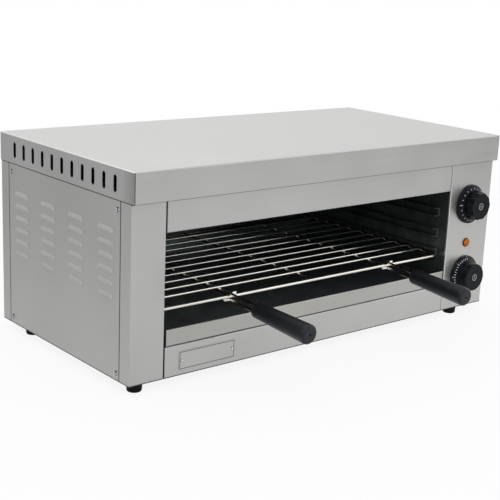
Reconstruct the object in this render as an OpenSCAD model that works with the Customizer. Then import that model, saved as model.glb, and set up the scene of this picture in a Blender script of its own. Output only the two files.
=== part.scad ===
// Open-front electric salamander grill, the kind sold as a cheese melter.
// The cabinet is folded stainless sheet round a dark inner chamber. A welded wire rack with
// two handles and a crumb tray slide out to the front; two dials turn on the right.
// X runs to the right, Y to the back, Z up, with the feet standing on z = 0.

/* [Cabinet] */
// Width of the top cover, the widest sheet of the cabinet
cover_w = 800; // [740:1:880]
// Depth of the top cover
cover_d = 400; // [370:1:450]
// Height of the cover's skirt
cover_h = 46.5; // [42:0.5:60]
// Height of the body from its underside to the cover's lower edge
body_h = 275.8; // [262:0.1:310]
// How far the front of the body stands back from the cover's front edge
front_setback = 9.6; // [9:0.1:20]
// Thickness of all the folded sheet
sheet_t = 1; // [0.8:0.1:1.2]
// Outside radius of the bends
bend_r = 1.6; // [1.6:0.1:3]
// Open seam between neighbouring panels
seam = 0.9; // [0.3:0.1:1.5]
// Open seam at each end of the cover's front and rear skirts
corner_seam = 0.5; // [0.3:0.1:1.5]
// How far the side panels and the top front panel reach up inside the cover
side_tuck = 8; // [5:0.5:8]
// How far the back panel reaches up inside the cover
back_tuck = 18; // [14:0.5:20]

/* [Front] */
// Width of the left column
left_column_w = 61.3; // [50:0.1:75]
// Width of the control panel on the right
control_panel_w = 111.6; // [104:0.1:130]
// How far the columns and the rear posts wrap round onto the sides
wrap_d = 25.5; // [20:0.5:32]
// How far the columns' edges turn in beside the opening
edge_return = 4; // [3:0.5:8]
// Depth of the flanges that turn in above and below the opening
return_d = 15; // [10:0.5:20]
// Height of the front panel above the opening
top_panel_h = 50; // [44:0.5:60]
// Height of the front panel below the opening
bottom_panel_h = 49; // [42:0.1:54]
// Width of the strips that carry the edges of the side panels
joggle_w = 20; // [16:0.5:26]

/* [Cover vents] */
// Number of vent slots in each side of the cover
vent_count = 11; // [7:1:13]
// Distance from the cover's front or back edge to the nearest slot's axis
vent_margin = 50; // [44:0.5:60]
// Width of a slot
vent_w = 8.5; // [4:0.1:10]
// Length of a slot from end to end
vent_l = 25.7; // [18:0.1:30]
// Height of the slots' middle above the cover's lower edge
vent_rise = 22.4; // [20:0.1:24]

/* [Side louvres] */
// Columns of louvres in each side panel
louvre_cols = 4; // [2:1:4]
// Louvres in each column
louvre_rows = 6; // [3:1:8]
// Length of a louvre
louvre_l = 45; // [36:0.5:52]
// Height of a louvre
louvre_h = 8; // [6:0.1:10]
// How far a louvre stands out of the panel
louvre_out = 3.5; // [2.5:0.1:4.5]
// Distance from one louvre to the next one below it
louvre_pitch = 20; // [16:0.5:24]
// Space between the panel's edges and the outer louvres
louvre_margin = 19; // [15:0.5:24]
// Depth of the topmost louvre's upper edge below the cover
louvre_drop = 45; // [30:0.5:60]

/* [Chamber] */
// Space between the chamber's back wall and the back panel
back_gap = 4.3; // [3:0.1:10]
// Height of the chamber's ceiling above the opening's upper edge
ceiling_rise = 43; // [38:0.5:48]
// Number of rack levels
runner_levels = 3; // [2:1:3]
// Height of a channel runner
runner_h = 15; // [14.5:0.5:18]
// How far a runner stands in from the wall
runner_d = 12; // [9:0.5:15]
// Height of the lowest runner above the opening's lower edge
runner_rise = 49.8; // [46:0.1:56]
// Distance from one runner to the next
runner_pitch = 38.3; // [30:0.1:42]
// How far the runners' front ends stand back from the body's front
runner_setback = 24; // [20:0.5:30]

/* [Heating elements] */
// Outer diameter of the element tube
element_tube_d = 8.5; // [6.5:0.1:10]
// Distance between the two legs of a hairpin element
element_leg_pitch = 50; // [36:0.5:60]
// Height of the elements above the opening's upper edge
element_rise = 20; // [16:0.5:24]
// Space between the element's bend and the left wall
element_end_gap = 28; // [20:0.5:40]
// Number of hanger strips that carry the elements
hanger_count = 3; // [2:1:4]

/* [Rack] */
// Diameter of the rack's frame wire
frame_wire_d = 5.6; // [5:0.1:6.5]
// Diameter of the long wires
long_wire_d = 4.5; // [3:0.1:5]
// Diameter of the wires that run from front to back under them
cross_wire_d = 5; // [4:0.1:6]
// Bend radius of the frame's corners, at the wire's axis
frame_corner_r = 10; // [8:0.5:16]
// Space between the rack and each side of the opening
rack_side_gap = 3; // [2:0.1:5]
// Distance from the body's front to the rack's front wire
rack_setback = 18.4; // [14:0.1:24]
// Space between the rack and the chamber's back wall
rack_back_gap = 2.5; // [1.5:0.1:8]
// Distance from the front wire to the first long wire
first_wire_gap = 38; // [30:0.5:44]
// Number of long wires
long_wire_count = 10; // [6:1:12]

/* [Handles] */
// Distance from the middle of the rack to each handle
handle_x = 176.5; // [120:0.5:200]
// Diameter of the handle rods
rod_d = 4.5; // [3.5:0.1:5]
// Radius of the rods' hooked ends, at the rod's axis
rod_bend_r = 6; // [5:0.1:8]
// Length of the hooked ends that lie along the front wire
rod_hook_l = 6; // [4:0.5:20]
// Distance from the front wire to the grip
grip_start = 65; // [50:0.5:70]
// Length of the grip
grip_l = 121.5; // [100:0.5:140]
// Diameter of the grip at the rods
grip_d1 = 25.5; // [20:0.1:28]
// Diameter of the grip near its outer end
grip_d2 = 31; // [26:0.1:34]
// Rounding of the grip's ends
grip_round = 5; // [2:0.1:6]
// Depth of the rods inside the grip
rod_seat = 20; // [14:0.5:30]
// Droop of the handles below the level
handle_droop = 3.2; // [0:0.1:3.5]
// Angle by which each handle leans towards the other one
handle_lean = 1; // [0:0.1:2]

/* [Crumb tray] */
// Height of the tray's front lip
tray_lip_h = 24.8; // [20:0.1:26]
// Height of the tray's other walls
tray_wall_h = 16; // [10:0.5:20]
// Space between the tray and each side of the opening
tray_side_gap = 4; // [2:0.1:6]
// Space between the tray and the chamber's back wall
tray_back_gap = 6; // [3:0.5:20]
// Width of the fold along the lip's upper edge
lip_fold = 2.5; // [2:0.1:14]

/* [Dials] */
// Distance from the cabinet's right side to the axes of the dials and the lamp
dial_inset = 57; // [50:0.5:64]
// Height of the thermostat's axis above the body's underside
thermostat_z = 197; // [190:0.5:205]
// Height of the timer's axis above the body's underside
timer_z = 62.4; // [60:0.1:75]
// Diameter of a dial's skirt
skirt_d = 72; // [66:0.5:76]
// Height of a dial from the panel to its face
knob_h = 28; // [25:0.5:36]
// Diameter of a dial's grip
knob_grip_d = 52; // [44:0.5:54]
// Space between a dial and the panel
knob_gap = 0.8; // [0.5:0.1:1]
// Number of scallops round the thermostat dial
scallop_count = 10; // [6:1:12]
// Diameter of the control shafts
shaft_d = 6; // [5:0.1:7]
// Diameter of the lamp's bezel
bezel_d = 17.5; // [16:0.1:22]
// Height of the lamp above the body's underside
lamp_z = 123.8; // [120:0.1:135]

/* [Fittings] */
// Height of the feet
foot_h = 14; // [10:0.5:25]
// Diameter of a foot at its top
foot_d = 25; // [22:0.5:27]
// Distance from the body's left side to the left feet
foot_left_inset = 20; // [14.5:0.5:40]
// Distance from the body's right side to the right feet
foot_right_inset = 70; // [40:0.5:80]
// Distance from the body's front to the front feet
foot_front_inset = 15.5; // [14.5:0.5:40]
// Distance from the body's back to the rear feet
foot_rear_inset = 66; // [40:0.5:80]
// Width of the plain nameplate
plate_w = 107; // [80:0.5:120]
// Height of the nameplate
plate_h = 30; // [24:0.5:32]
// Distance from the opening's left edge to the nameplate
plate_inset = 28; // [15:0.5:60]
// Distance from the body's right side to the cable gland
gland_inset = 60; // [50:0.5:70]
// Height of the cable gland above the body's underside
gland_z = 36; // [30:0.5:50]
// Bore of the cable gland
gland_bore_d = 10; // [8:0.1:11]

/* [Hidden] */
$fn = 48;
eps = 0.01;
t = sheet_t;
inner_r = bend_r - t;
// Clearances: between touching bodies, round a screw or tube, and round a turning shaft
slide_clearance = 0.3;
hole_clearance = 0.1;
running_clearance = 0.05;
// Extra length of a rounded body that is cut off flat
cut_off = 20;

// Heights
base_z = foot_h;
cover_z = base_z + body_h;
top_z = cover_z + cover_h;
open_z0 = base_z + bottom_panel_h;
open_z1 = cover_z - top_panel_h;
ceiling_z = open_z1 + ceiling_rise;
post_top = top_z - t - bend_r;

// Widths
half_w = cover_w / 2;
side_x = half_w - t;
open_x0 = -side_x + left_column_w;
open_x1 = side_x - control_panel_w;
open_mid = (open_x0 + open_x1) / 2;
chamber_x0 = open_x0 - t;
chamber_x1 = open_x1 + t;
dial_x = side_x - dial_inset;

// The origin is at the middle of the part's whole depth, so the cabinet's own middle lies
// behind it by half of what the grips reach out further than the cable gland, here to the
// nearest hundredth
gland_reach = 16;
grip_end = grip_start + grip_l;
grip_slant = acos(cos(handle_droop) * cos(handle_lean));
grip_reach = (grip_end - grip_round) * cos(grip_slant)
    + (grip_d2 / 2 - grip_round) * sin(grip_slant) + grip_round;
front_reach = cover_d / 2 - front_setback - rack_setback + grip_reach;
mid_y = round(50 * (front_reach - (cover_d / 2 - t + gland_reach))) / 100;
cover_y0 = mid_y - cover_d / 2;
cover_y1 = mid_y + cover_d / 2;
front_y = cover_y0 + front_setback;
back_y = cover_y1 - t;
chamber_y1 = back_y - t - back_gap - t;
panel_y0 = front_y + wrap_d + seam;
panel_y1 = back_y - wrap_d - seam;

// Screws, and the folded sheets that they join
screw_r = 2;
head_r = 3.8;
head_h = 2.2;
screw_bite = 5;
screw_edge = 9;
strip_weld = 2.5;
screw_rise = 11.5;
screw_drop = 15;
screw_zs = [base_z + screw_rise, cover_z - screw_drop];
screw_ys = [panel_y0 + screw_edge, panel_y1 - screw_edge];
back_panel_x0 = -side_x + wrap_d + seam;
back_screw_pitch = 240;
back_screw_xs = [-back_screw_pitch, 0, back_screw_pitch];
cover_screw_rise = 7;
cover_screw_z = cover_z + cover_screw_rise;
back_vent_count = 9;
back_vent_pitch = 24;
back_vent_z = ceiling_z - vent_l;

// Rack
wire_r = frame_wire_d / 2;
rack_x0 = open_x0 + rack_side_gap + wire_r;
rack_x1 = open_x1 - rack_side_gap - wire_r;
rack_y0 = front_y + rack_setback;
rack_y1 = chamber_y1 - rack_back_gap - wire_r;
runner_z = open_z0 + runner_rise;
rack_z = runner_z + t + slide_clearance + wire_r;
weld = 0.5;
long_z = rack_z + wire_r + long_wire_d / 2 - weld;
cross_z = rack_z + wire_r - cross_wire_d / 2 - slide_clearance;
long_pitch = (rack_y1 - rack_y0 - first_wire_gap) / long_wire_count;
long_wire_end = 1;
cross_wire_inset = 8;
cross_wire_xs = [cross_wire_inset - handle_x, 0, handle_x - cross_wire_inset];
rod_z = wire_r + rod_d / 2 + hole_clearance;
dimple_r = 1.8;
dimple_deep = 2.5;

// Elements
element_z = open_z1 + element_rise;
element_r = element_tube_d / 2;
element_x0 = chamber_x0 + element_end_gap + element_leg_pitch / 2 + element_r;
element_tail = 26;
element_x1 = chamber_x1 + t + element_tail;
element_zone0 = front_y + return_d + 6;
element_pitch = (chamber_y1 - element_zone0) / 3;
element_ys = [for (i = [0:2]) element_zone0 + element_pitch * (i + 0.5)];
leg_ys = [for (y = element_ys, s = [-1, 1]) y + s * element_leg_pitch / 2];
collar_r = element_r + 2.5;
collar_flange = 3;
collar_out = 5;
hanger_flange = 14;
hanger_end = 14;
hanger_end_gap = 60;
hanger_h = ceiling_z - element_z + element_r + 4;
hanger_pitch = (chamber_x1 - hanger_end_gap - element_x0) / (hanger_count - 1);
terminal_bead_l = 8;
terminal_pin_l = 22;

// Thermostat's bulb on the back wall, below the elements, and its thin tube
bulb_r = 3;
bulb_l = 90;
bulb_drop = 12;
bulb_z = element_z - bulb_drop;
bulb_standoff = 9;
bulb_y = chamber_y1 - bulb_standoff;
bulb_end_gap = 45;
bulb_x1 = chamber_x1 - bulb_end_gap;
bulb_x0 = bulb_x1 - bulb_l;
capillary_r = 0.9;
capillary_bend = 4;
clip_w = 10;
clip_slit = 3;
clip_xs = [bulb_x0 + 20, bulb_x1 - 20];

// Controls
panel_in = front_y + t;
thermostat_h = base_z + thermostat_z;
timer_h = base_z + timer_z;
lamp_h = base_z + lamp_z;
neck_r = 5;
neck_out = 0.3;
control_screw_x = 14;
control_screw_l = 7;
thermostat_w = 44;
thermostat_deep = 30;
timer_w = 50;
timer_deep = 38;
control_round = 3;
tab_x = 10;
tab_w = 6;
tab_t = 0.8;
tab_l = 8;
shaft_in = 18;
shaft_flat = 1.2;
knob_y = front_y - knob_gap;
knob_l = knob_h - knob_gap;
shaft_reach = knob_h - 10;
skirt_r = skirt_d / 2;
skirt_h = 9;
grip_r = knob_grip_d / 2;
scallop_r = 18;
scallop_deep = 2.6;
cap_r = 8;
cap_h = 1.2;
cap_groove = 0.4;
cap_ring_r0 = 4.7;
cap_ring_r1 = 6.3;

// Lamp
bezel_r = bezel_d / 2;
bezel_t = 0.6;
lens_r = bezel_r - 1.3;
lens_edge = 0.9;
lens_rise = 5;
lamp_neck_r = 6.5;
lamp_r = 8;
lamp_l = 22;
lamp_tab_x = 3;

// Terminal block and the leads that come up out of its wells
block_w = 20;
block_l = 60;
block_h = 18;
block_round = 1.2;
block_x = dial_x - tab_x;
block_setback = 250;
block_y = front_y + block_setback;
well_pitch = 11;
well_floor = 6;
lead_r = 1.6;
lead_bend = 12;

// Crumb tray
tray_x0 = open_x0 + tray_side_gap;
tray_x1 = open_x1 - tray_side_gap;
tray_z = open_z0 + slide_clearance;
tray_y1 = chamber_y1 - tray_back_gap;
lip_gap = 1.2;
lip_z1 = tray_z + t + lip_gap + tray_lip_h;

// Side louvres
louvre_y0 = panel_y0 + louvre_margin + louvre_l / 2;
louvre_pitch_y = (panel_y1 - panel_y0 - 2 * louvre_margin - louvre_l) / (louvre_cols - 1);
louvre_z1 = cover_z - louvre_drop - louvre_h;
// The hood is part of a round bar whose axis lies behind the sheet
louvre_r = (louvre_h * louvre_h / louvre_out + louvre_out) / 2;

// Feet
foot_taper = 1;
foot_round = 2.5;
foot_xs = [-side_x + foot_left_inset, side_x - foot_right_inset];
foot_ys = [front_y + foot_front_inset, back_y - foot_rear_inset];
foot_pocket_r = 5;
foot_floor = 4;

// Gland
gland_x = side_x - gland_inset;
gland_h = base_z + gland_z;
gland_thread_r = 8;
gland_inside = 14;
gland_hex_r = 12.5;
gland_hex_h = 5;
gland_nut_r = 10.6;

// Nameplate and its rivets
plate_t = 0.8;
plate_round = 1.5;
plate_x0 = open_x0 + plate_inset;
plate_z = base_z + bottom_panel_h / 2 - 1;
rivet_inset = 5.5;
rivet_xs = [plate_x0 + rivet_inset, plate_x0 + plate_w - rivet_inset];
rivet_r = 1.6;
rivet_head_r = 2.6;
rivet_head_h = 1.4;
rivet_tail = t + plate_t + 2;

// --- colours ---
steel = [0.74, 0.74, 0.72];
side_steel = [0.64, 0.64, 0.63];
wire_steel = [0.85, 0.84, 0.80];
dark_steel = [0.10, 0.11, 0.11];
black = [0.09, 0.09, 0.10];

// --- shared shapes ---

// Rectangle from corner a to corner b with round corners
module round_rect(a, b, r) {
    union() {
        translate([a[0] + r, a[1]]) square([b[0] - a[0] - 2 * r, b[1] - a[1]]);
        translate([a[0], a[1] + r]) square([b[0] - a[0], b[1] - a[1] - 2 * r]);
        for (x = [a[0] + r, b[0] - r], y = [a[1] + r, b[1] - r]) translate([x, y]) circle(r);
    }
}

// Upright slot with round ends, centred
module slot(w, l) {
    union() {
        square([w, l - w], center = true);
        for (s = [-1, 1]) translate([0, s * (l - w) / 2]) circle(w / 2);
    }
}

// Extrudes an outline drawn in Y and Z from x0 to x1
module along_x(x0, x1) {
    translate([x0, 0, 0]) rotate([90, 0, 90]) linear_extrude(x1 - x0) children();
}

// Extrudes an outline drawn in X and Z from y0 to y1
module along_y(y0, y1) {
    translate([0, y1, 0]) rotate([90, 0, 0]) linear_extrude(y1 - y0) children();
}

// Extrudes an outline drawn in X and Y from z0 to z1
module along_z(z0, z1) {
    translate([0, 0, z0]) linear_extrude(z1 - z0) children();
}

module block(a, b) {
    translate(a) cube(b - a);
}

// Round bar between two places on the X, Y or Z direction
module bar_x(x0, x1, y, z, r) {
    translate([x0, y, z]) rotate([0, 90, 0]) cylinder(r = r, h = x1 - x0);
}

module bar_y(x, y0, y1, z, r) {
    translate([x, y0, z]) rotate([-90, 0, 0]) cylinder(r = r, h = y1 - y0);
}

// Folded sheet with one bend: one leg a along +X, one leg b along +Y, corner at the origin
module angle_section(a, b) {
    difference() {
        round_rect([0, 0], [2 * a, 2 * b], bend_r);
        round_rect([t, t], [2 * a, 2 * b], inner_r);
        translate([a, -1]) square([2 * a, 2 * b + 2]);
        translate([-1, b]) square([2 * a, 2 * b + 2]);
    }
}

// Channel section open towards +X: height h, depth d
module channel_section(d, h) {
    difference() {
        round_rect([0, 0], [2 * d, h], bend_r);
        round_rect([t, t], [2 * d, h - t], inner_r);
        translate([d, -1]) square([2 * d, h + 2]);
    }
}

// Closed block with all outer edges rounded, from corner a to corner b
module soft_block(a, b, r) {
    intersection() {
        along_z(a[2], b[2]) round_rect([a[0], a[1]], [b[0], b[1]], r);
        along_x(a[0], b[0]) round_rect([a[1], a[2]], [b[1], b[2]], r);
        along_y(a[1], b[1]) round_rect([a[0], a[2]], [b[0], b[2]], r);
    }
}

// Pan-head screw with its head's underside at the origin, the head towards +Z
module pan_screw(shank_l) {
    difference() {
        rotate_extrude() polygon([[0, -shank_l], [screw_r, -shank_l], [screw_r, 0],
            [head_r, 0], [head_r, head_h * 0.5], [head_r * 0.8, head_h * 0.86],
            [head_r * 0.45, head_h], [0, head_h]]);
        for (a = [0, 90]) rotate([0, 0, a]) translate([-2, -0.4, head_h - 1]) cube([4, 0.8, 2]);
    }
}

// Round wire with a quarter bend about the origin. It runs in along +Y, over the length a,
// and runs on along -X, over the length b
module bent_wire(r, bend, a, b) {
    if (a > 0) translate([bend, 0, 0]) rotate([90, 0, 0]) cylinder(r = r, h = a);
    rotate_extrude(angle = 90) translate([bend, 0]) circle(r);
    translate([0, bend, 0]) rotate([0, -90, 0]) cylinder(r = r, h = b);
}

// --- cabinet ---

// Folded lid: top, four skirts with open corner seams, and a lip turned in along the front
module cover() {
    color(steel) difference() {
        union() {
            difference() {
                soft_block([-half_w, cover_y0, cover_z - cut_off], [half_w, cover_y1, top_z],
                    bend_r);
                soft_block([-side_x, cover_y0 + t, cover_z - cut_off - 2],
                    [side_x, back_y, top_z - t], inner_r);
                block([-half_w - 1, cover_y0 - 1, cover_z - cut_off - 1],
                    [half_w + 1, cover_y1 + 1, cover_z]);
            }
            block([-side_x + seam, cover_y0 + t - eps, cover_z],
                [side_x - seam, front_y - slide_clearance, cover_z + t]);
        }
        for (s = [-1, 1]) translate([s * (side_x - corner_seam / 2), 0, 0])
            block([-corner_seam / 2, cover_y0 - 1, cover_z - 1],
                [corner_seam / 2, cover_y1 + 1, top_z - bend_r]);
        for (i = [0:vent_count - 1])
            translate([0, cover_y0 + vent_margin
                + i * (cover_d - 2 * vent_margin) / (vent_count - 1), cover_z + vent_rise])
                along_x(-half_w - 1, half_w + 1) slot(vent_w, vent_l);
        for (x = back_screw_xs) bar_y(x, back_y - 1, cover_y1 + 1, cover_screw_z,
            screw_r + hole_clearance);
    }
}

// One front column at the left: front face, flange round the side, return at the opening
module column(w) {
    side_to = panel_y0 + joggle_w - front_y;
    difference() {
        along_z(base_z, post_top) translate([-side_x, front_y]) difference() {
            round_rect([0, 0], [w, 3 * wrap_d], bend_r);
            round_rect([t, t], [w - t, 3 * wrap_d], inner_r);
            translate([-1, wrap_d]) square([w / 2 + 1, 3 * wrap_d]);
            translate([w / 2, edge_return]) square([w, 3 * wrap_d]);
        }
        for (z = [[base_z - 1, open_z0], [open_z1, post_top + 1]])
            block([-side_x + w / 2, front_y + t, z[0]],
                [-side_x + w + 1, front_y + edge_return + 1, z[1]]);
    }
    difference() {
        block([-side_x + t, front_y + wrap_d - strip_weld, base_z],
            [-side_x + 2 * t, front_y + side_to, cover_z + side_tuck]);
        for (z = screw_zs) bar_x(-side_x, 0, screw_ys[0], z, screw_r + hole_clearance);
    }
}

module left_column() {
    color(steel) column(left_column_w);
}

module control_panel() {
    color(steel) difference() {
        mirror([1, 0, 0]) column(control_panel_w);
        for (z = [thermostat_h, timer_h]) {
            bar_y(dial_x, front_y - 1, panel_in + 1, z, neck_r + hole_clearance);
            for (s = [-1, 1]) bar_y(dial_x + s * control_screw_x, front_y - 1, panel_in + 1,
                z, screw_r + hole_clearance);
        }
        bar_y(dial_x, front_y - 1, panel_in + 1, lamp_h, lamp_neck_r + hole_clearance);
    }
}

module top_front_panel() {
    color(steel) along_x(open_x0 + seam, open_x1 - seam) translate([front_y, open_z1])
        angle_section(return_d, top_panel_h + side_tuck);
}

module bottom_front_panel() {
    color(steel) difference() {
        along_x(open_x0 + seam, open_x1 - seam) translate([front_y, open_z0]) mirror([0, 1, 0])
            angle_section(return_d, bottom_panel_h);
        for (x = rivet_xs) bar_y(x, front_y - 1, panel_in + 1, plate_z, rivet_r + hole_clearance);
    }
}

// Round bar with round ends, along Y
module louvre_bar(r) {
    span = louvre_l / 2 - louvre_h;
    union() {
        bar_y(0, -span, span, 0, r);
        for (s = [-1, 1]) translate([0, s * span, 0]) sphere(r);
    }
}

// Left side panel with its pressed-out louvre hoods, each open along its lower edge
module side_panel() {
    axis_x = -side_x - louvre_out + louvre_r;
    difference() {
        union() {
            block([-side_x, panel_y0, base_z], [-side_x + t, panel_y1, cover_z + side_tuck]);
            intersection() {
                louvre_field() translate([axis_x, 0, 0]) louvre_bar(louvre_r);
                union() louvre_field() block([-side_x - louvre_out - 1, -louvre_l, 0],
                    [-side_x + t / 2, louvre_l, louvre_h]);
            }
        }
        intersection() {
            louvre_field() translate([axis_x, 0, 0]) louvre_bar(louvre_r - t);
            union() louvre_field() block([-side_x - louvre_out - 2, -louvre_l, -eps],
                [-side_x + 2 * t, louvre_l, louvre_h]);
        }
        for (y = screw_ys, z = screw_zs) bar_x(-side_x - 1, -side_x + 2 * t, y, z,
            screw_r + hole_clearance);
    }
}

module louvre_field() {
    for (i = [0:louvre_cols - 1], j = [0:louvre_rows - 1])
        translate([0, louvre_y0 + i * louvre_pitch_y, louvre_z1 - j * louvre_pitch]) children();
}

module left_side_panel() {
    color(side_steel) side_panel();
}

module right_side_panel() {
    color(side_steel) mirror([1, 0, 0]) side_panel();
}

// Rear corner post: flanges on the side and the back, stepped in to carry the panels
module rear_post() {
    difference() {
        union() {
            along_z(base_z, post_top) translate([-side_x, back_y]) mirror([0, 1, 0])
                angle_section(wrap_d, wrap_d);
            block([-side_x + t, panel_y1 - joggle_w, base_z],
                [-side_x + 2 * t, back_y - wrap_d + strip_weld, cover_z + side_tuck]);
            block([-side_x + wrap_d - strip_weld, back_y - 2 * t, base_z],
                [-side_x + wrap_d + seam + joggle_w, back_y - t, cover_z + back_tuck]);
        }
        for (z = screw_zs) bar_x(-side_x, 0, screw_ys[1], z, screw_r + hole_clearance);
        for (z = screw_zs) bar_y(back_panel_x0 + screw_edge, back_y - 3 * t, back_y + 1, z,
            screw_r + hole_clearance);
    }
}

module left_rear_post() {
    color(side_steel) rear_post();
}

module right_rear_post() {
    color(side_steel) mirror([1, 0, 0]) rear_post();
}

module back_panel() {
    color(side_steel) difference() {
        block([back_panel_x0, back_y - t, base_z],
            [-back_panel_x0, back_y, cover_z + back_tuck]);
        for (s = [-1, 1], z = screw_zs) bar_y(s * (back_panel_x0 + screw_edge), back_y - 2 * t,
            back_y + 1, z, screw_r + hole_clearance);
        for (x = back_screw_xs) bar_y(x, back_y - 2 * t, back_y + 1, cover_screw_z,
            screw_r + hole_clearance);
        for (i = [0:back_vent_count - 1])
            translate([dial_x - i * back_vent_pitch, 0, back_vent_z])
                along_y(back_y - 2 * t, back_y + 1) slot(vent_w, vent_l);
        bar_y(gland_x, back_y - 2 * t, back_y + 1, gland_h, gland_thread_r + hole_clearance);
    }
}

module base_plate() {
    color(dark_steel) difference() {
        block([-side_x + 2 * t, panel_in, base_z], [side_x - 2 * t, back_y - 2 * t, base_z + t]);
        for (x = foot_xs, y = foot_ys) translate([x, y, base_z - 1])
            cylinder(r = screw_r + hole_clearance, h = t + 2);
    }
}

// --- chamber ---

module chamber_wall(x) {
    difference() {
        block([x, front_y + 2 * t, base_z + t], [x + t, chamber_y1 + t, ceiling_z]);
        children();
    }
}

module chamber_left_wall() {
    color(dark_steel) chamber_wall(chamber_x0 - t);
}

module chamber_right_wall() {
    color(dark_steel) chamber_wall(chamber_x1) {
        for (y = leg_ys) bar_x(chamber_x1 - 1, chamber_x1 + t + 1, y, element_z,
            collar_r + hole_clearance);
        bar_x(chamber_x1 - 1, chamber_x1 + t + 1, bulb_y, bulb_z, capillary_r + 1);
    }
}

module chamber_back_wall() {
    color(dark_steel) block([chamber_x0, chamber_y1, open_z0 - t],
        [chamber_x1, chamber_y1 + t, ceiling_z]);
}

module chamber_ceiling() {
    color(dark_steel) block([chamber_x0 - t, panel_in, ceiling_z],
        [chamber_x1 + t, chamber_y1 + t, ceiling_z + t]);
}

module chamber_floor() {
    color(dark_steel) block([chamber_x0, front_y + bend_r, open_z0 - 2 * t],
        [chamber_x1, chamber_y1 + t, open_z0 - t]);
}

// Channel rails, open towards the chamber, one for each rack level
module runners() {
    for (i = [0:runner_levels - 1])
        along_y(front_y + runner_setback, chamber_y1 - slide_clearance)
            translate([chamber_x0, runner_z + i * runner_pitch])
            channel_section(runner_d, runner_h);
}

module left_runners() {
    color(dark_steel) runners();
}

module right_runners() {
    color(dark_steel) translate([2 * open_mid, 0, 0]) mirror([1, 0, 0]) runners();
}

// --- heating ---

// Hairpin element: two legs and a half-round bend at the left
module hairpin(i) {
    y = element_ys[i];
    for (s = [-1, 1]) bar_x(element_x0, element_x1, y + s * element_leg_pitch / 2, element_z,
        element_r);
    translate([element_x0, y, element_z]) rotate([0, 0, 90]) rotate_extrude(angle = 180)
        translate([element_leg_pitch / 2, 0]) circle(element_r);
}

module front_element() {
    color("dimgray") hairpin(0);
}

module middle_element() {
    color("dimgray") hairpin(1);
}

module rear_element() {
    color("dimgray") hairpin(2);
}

// Strips under the ceiling with a hole for each leg
module element_hangers() {
    color("gray") for (i = [0:hanger_count - 1]) {
        x = element_x0 + i * hanger_pitch;
        difference() {
            along_y(leg_ys[0] - hanger_end, leg_ys[5] + hanger_end)
                translate([x, ceiling_z]) mirror([0, 1]) angle_section(hanger_flange, hanger_h);
            for (y = leg_ys) bar_x(x - 1, x + t + 1, y, element_z, element_r + hole_clearance);
        }
    }
}

// Flanged collars that carry the legs through the right wall
module element_bushes() {
    sleeve_l = collar_flange + t + collar_out;
    color("gainsboro") for (y = leg_ys) translate([chamber_x1 - collar_flange, y, element_z])
        rotate([0, 90, 0]) difference() {
            union() {
                cylinder(r = collar_r, h = sleeve_l);
                cylinder(r = collar_r + 2, h = collar_flange);
            }
            translate([0, 0, -1]) cylinder(r = element_r + hole_clearance, h = sleeve_l + 2);
        }
}

// Ceramic end bead and threaded pin on each leg
module element_terminals() {
    color("ivory") for (y = leg_ys) translate([element_x1, y, element_z]) rotate([0, 90, 0])
        union() {
            cylinder(r = element_r - 0.8, h = terminal_bead_l);
            cylinder(r = 1.8, h = terminal_pin_l);
        }
}

// Sensing bulb; its tube runs out through the wall, forward, and down into the thermostat
module sensor_bulb() {
    tube_y0 = panel_in + thermostat_deep / 2 + capillary_bend;
    tube_y1 = bulb_y - capillary_bend;
    tube_z = bulb_z - capillary_bend;
    color("peru") union() {
        bar_x(bulb_x0, bulb_x1, bulb_y, bulb_z, bulb_r);
        for (x = [bulb_x0, bulb_x1]) translate([x, bulb_y, bulb_z]) sphere(bulb_r);
        translate([dial_x - capillary_bend, tube_y1, bulb_z])
            bent_wire(capillary_r, capillary_bend, 0, dial_x - capillary_bend - bulb_x1);
        translate([dial_x, tube_y0, tube_z]) rotate([90, 0, -90])
            bent_wire(capillary_r, capillary_bend, tube_z - thermostat_h - thermostat_w / 2,
            tube_y1 - tube_y0);
    }
}

// Spring clips that hold the bulb to the back wall
module sensor_clips() {
    clip_r = bulb_r + hole_clearance;
    color("silver") for (x = clip_xs) difference() {
        union() {
            bar_x(x - clip_w / 2, x + clip_w / 2, bulb_y, bulb_z, clip_r + t);
            block([x - clip_w / 2, bulb_y, bulb_z - bulb_r - t],
                [x + clip_w / 2, chamber_y1 - eps, bulb_z + bulb_r + t]);
        }
        bar_x(x - clip_w, x + clip_w, bulb_y, bulb_z, clip_r);
        block([x - clip_w, bulb_y - 3 * bulb_r, bulb_z - clip_slit / 2],
            [x + clip_w, bulb_y, bulb_z + clip_slit / 2]);
    }
}

// --- controls ---

// Control unit behind the panel: case, threaded neck for the shaft, and two tabs for wires
module control_unit(z, w, deep) {
    difference() {
        union() {
            soft_block([dial_x - w / 2, panel_in, z - w / 2],
                [dial_x + w / 2, panel_in + deep, z + w / 2], control_round);
            bar_y(dial_x, front_y - neck_out, panel_in + control_round, z, neck_r);
            for (s = [-1, 1]) translate([dial_x + s * tab_x, 0, z])
                block([-tab_w / 2, panel_in + deep - eps, -tab_t / 2],
                    [tab_w / 2, panel_in + deep + tab_l, tab_t / 2]);
        }
        bar_y(dial_x, front_y - 1, panel_in + shaft_in + 2, z, shaft_d / 2 + running_clearance);
        for (s = [-1, 1]) bar_y(dial_x + s * control_screw_x, panel_in - 1,
            panel_in + control_screw_l + 2, z, screw_r + hole_clearance);
    }
}

module thermostat_body() {
    color("darkslategray") control_unit(thermostat_h, thermostat_w, thermostat_deep);
}

module timer_body() {
    color("darkslategray") control_unit(timer_h, timer_w, timer_deep);
}

// Shaft from inside the control unit out into the knob's boss, with a flat along its end
module control_shaft(z) {
    difference() {
        bar_y(dial_x, knob_y - shaft_reach, panel_in + shaft_in, z, shaft_d / 2);
        block([dial_x - shaft_d, knob_y - shaft_reach - 1, z + shaft_d / 2 - shaft_flat],
            [dial_x + shaft_d, knob_y - skirt_h, z + shaft_d]);
    }
}

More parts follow.
